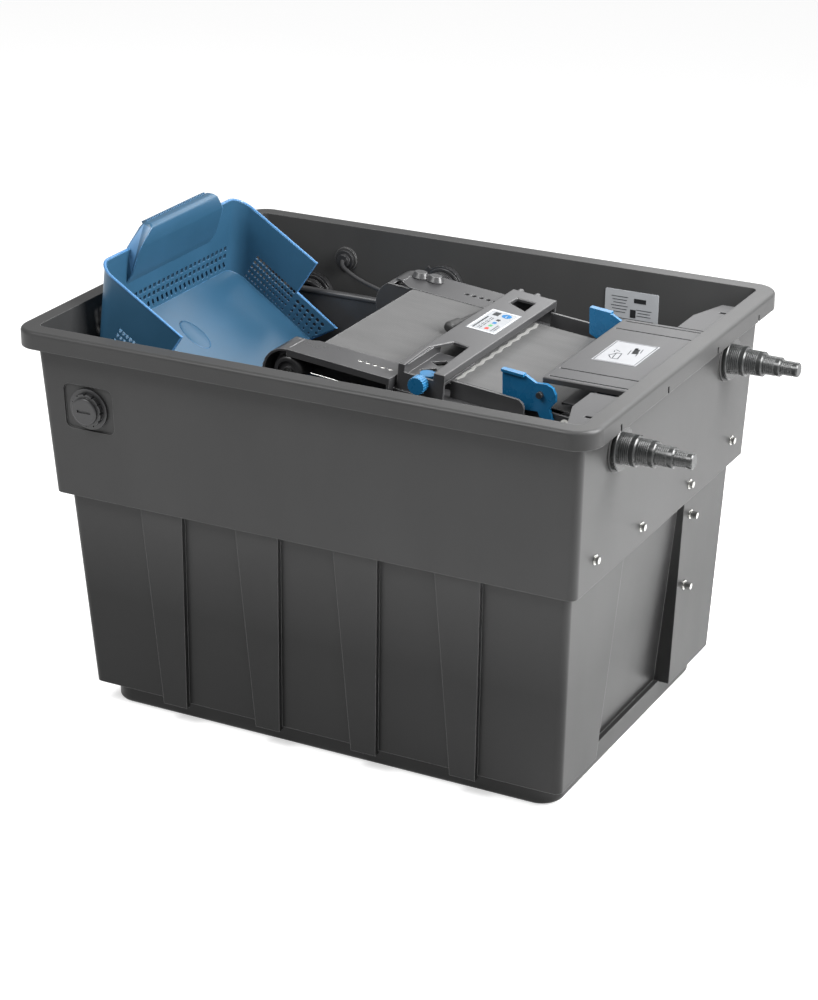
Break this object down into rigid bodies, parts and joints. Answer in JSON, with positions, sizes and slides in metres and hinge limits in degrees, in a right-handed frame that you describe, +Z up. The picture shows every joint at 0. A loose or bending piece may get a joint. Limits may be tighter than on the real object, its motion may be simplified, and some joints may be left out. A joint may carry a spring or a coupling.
{
  "type": "flow-through pond filter",
  "caption": "Open box-shaped pond filter with a motor-driven belt screen, a lift-out debris basket, stepped hose tails and foam cartridges.",
  "frame": {"origin": "centre of the tub's base, on the ground it stands on", "axes": "+X along the tub's length towards the hose tails, -Y towards the front wall with the round outlet, +Z up"},
  "size_m": [0.8605, 0.6449, 0.6114],
  "materials": {
    "tub_plastic": "satin, lightly grained",
    "dark_plastic": "satin",
    "frame_plastic": "satin",
    "chamber_plastic": "satin",
    "blue_plastic": "semi-gloss",
    "latch_blue": "semi-gloss",
    "tail_plastic": "satin",
    "screen_fabric": "fine woven polyester screen",
    "stainless": "brushed",
    "rubber_black": "matt",
    "lead_rubber": "matt",
    "foam_blue": "open-cell foam",
    "label_white": "printed film",
    "label_grey": "printed film",
    "motor_metal": "cast",
    "bushing_white": "bearing plastic"
  },
  "bodies": {
    "tub_assembly": {"tub": "tub_plastic", "rating_plate": "label_grey", "near_hose_tail": "tail_plastic", "far_hose_tail": "tail_plastic", "tail_seals": "rubber_black", "tail_lock_nuts": "tail_plastic", "inlet_chamber": "chamber_plastic", "chamber_bolts": "stainless", "baffle_studs": "stainless", "baffle_nuts": "stainless", "outlet_fitting": "dark_plastic", "outlet_nut": "dark_plastic", "rear_ports": "dark_plastic", "rear_ring_nuts": "dark_plastic", "near_side_frame": "frame_plastic", "far_side_frame": "frame_plastic", "side_plates": "frame_plastic", "cross_tubes": "stainless", "frame_screws": "stainless", "roller_bushes": "bushing_white", "screen_belt": "screen_fabric", "belt_seam": "screen_fabric", "belt_support": "dark_plastic", "drive_belt": "rubber_black", "gear_motor": "motor_metal", "motor_cover": "frame_plastic", "scraper": "rubber_black", "strut_rod": "stainless", "strut_sleeve": "dark_plastic", "bridge": "frame_plastic", "bridge_lugs": "frame_plastic", "bridge_label": "label_grey", "level_probe": "rubber_black", "latch_pins": "dark_plastic", "media_basin": "frame_plastic", "media_grid": "dark_plastic", "foam_cartridges": "foam_blue", "foam_handles": "dark_plastic", "cable_gland": "dark_plastic", "gland_nut": "dark_plastic", "motor_lead": "lead_rubber", "supply_lead": "lead_rubber", "plug_lead": "lead_rubber", "lead_coil": "lead_rubber", "mains_plug": "rubber_black"},
    "basket": {"debris_basket": "blue_plastic"},
    "cover": {"inlet_cover": "chamber_plastic", "cover_label": "label_white"},
    "near_latch_lever": {"near_latch": "latch_blue"},
    "far_latch_lever": {"far_latch": "latch_blue"},
    "drive": {"drive_shaft": "stainless", "hand_wheel": "dark_plastic", "drive_pulley": "dark_plastic"},
    "nose": {"nose_roller": "motor_metal", "nose_pulley": "dark_plastic"},
    "tail": {"tail_roller": "motor_metal"},
    "knob": {"speed_knob": "latch_blue"},
    "dial": {"speed_dial": "latch_blue"},
    "cap": {"outlet_cap": "dark_plastic"}
  },
  "joints": [
    {"name": "basket_lift", "type": "slide", "parent": "tub_assembly", "child": "basket", "axis": [0, 0, 1], "range_m": [0, 0.25]},
    {"name": "cover_lift", "type": "slide", "parent": "tub_assembly", "child": "cover", "axis": [0, 0, 1], "range_m": [0, 0.12]},
    {"name": "near_latch_swing", "type": "hinge", "parent": "tub_assembly", "child": "near_latch_lever", "pos_m": [0.251, -0.12475, 0.495], "axis": [0, 1, 0], "range_deg": [0, 70]},
    {"name": "far_latch_swing", "type": "hinge", "parent": "tub_assembly", "child": "far_latch_lever", "pos_m": [0.251, 0.12475, 0.495], "axis": [0, 1, 0], "range_deg": [0, 70]},
    {"name": "drive_turn", "type": "hinge", "parent": "tub_assembly", "child": "drive", "pos_m": [-0.07383, 0, 0.48118], "axis": [0, 1, 0], "continuous": true},
    {"name": "nose_turn", "type": "hinge", "parent": "tub_assembly", "child": "nose", "pos_m": [-0.04691, 0, 0.49885], "axis": [0, 1, 0], "continuous": true},
    {"name": "tail_turn", "type": "hinge", "parent": "tub_assembly", "child": "tail", "pos_m": [0.2809, 0, 0.46052], "axis": [0, 1, 0], "continuous": true},
    {"name": "knob_turn", "type": "hinge", "parent": "tub_assembly", "child": "knob", "pos_m": [0.10647, -0.162, 0.49483], "axis": [0, -1, 0], "range_deg": [-135, 135]},
    {"name": "dial_turn", "type": "hinge", "parent": "tub_assembly", "child": "dial", "pos_m": [0.10917, -0.143, 0.50159], "axis": [0.1011, 0, 0.9949], "range_deg": [-135, 135]},
    {"name": "cap_turn", "type": "hinge", "parent": "tub_assembly", "child": "cap", "pos_m": [-0.3, -0.26996, 0.428], "axis": [0, -0.9988, -0.0492], "range_deg": [0, 90]}
  ],
  "couplings": [
    {"joint": "nose_turn", "follows": "drive_turn", "ratio": 1.2},
    {"joint": "tail_turn", "follows": "drive_turn", "ratio": 0.7522},
    {"joint": "dial_turn", "follows": "knob_turn", "ratio": 1}
  ]
}
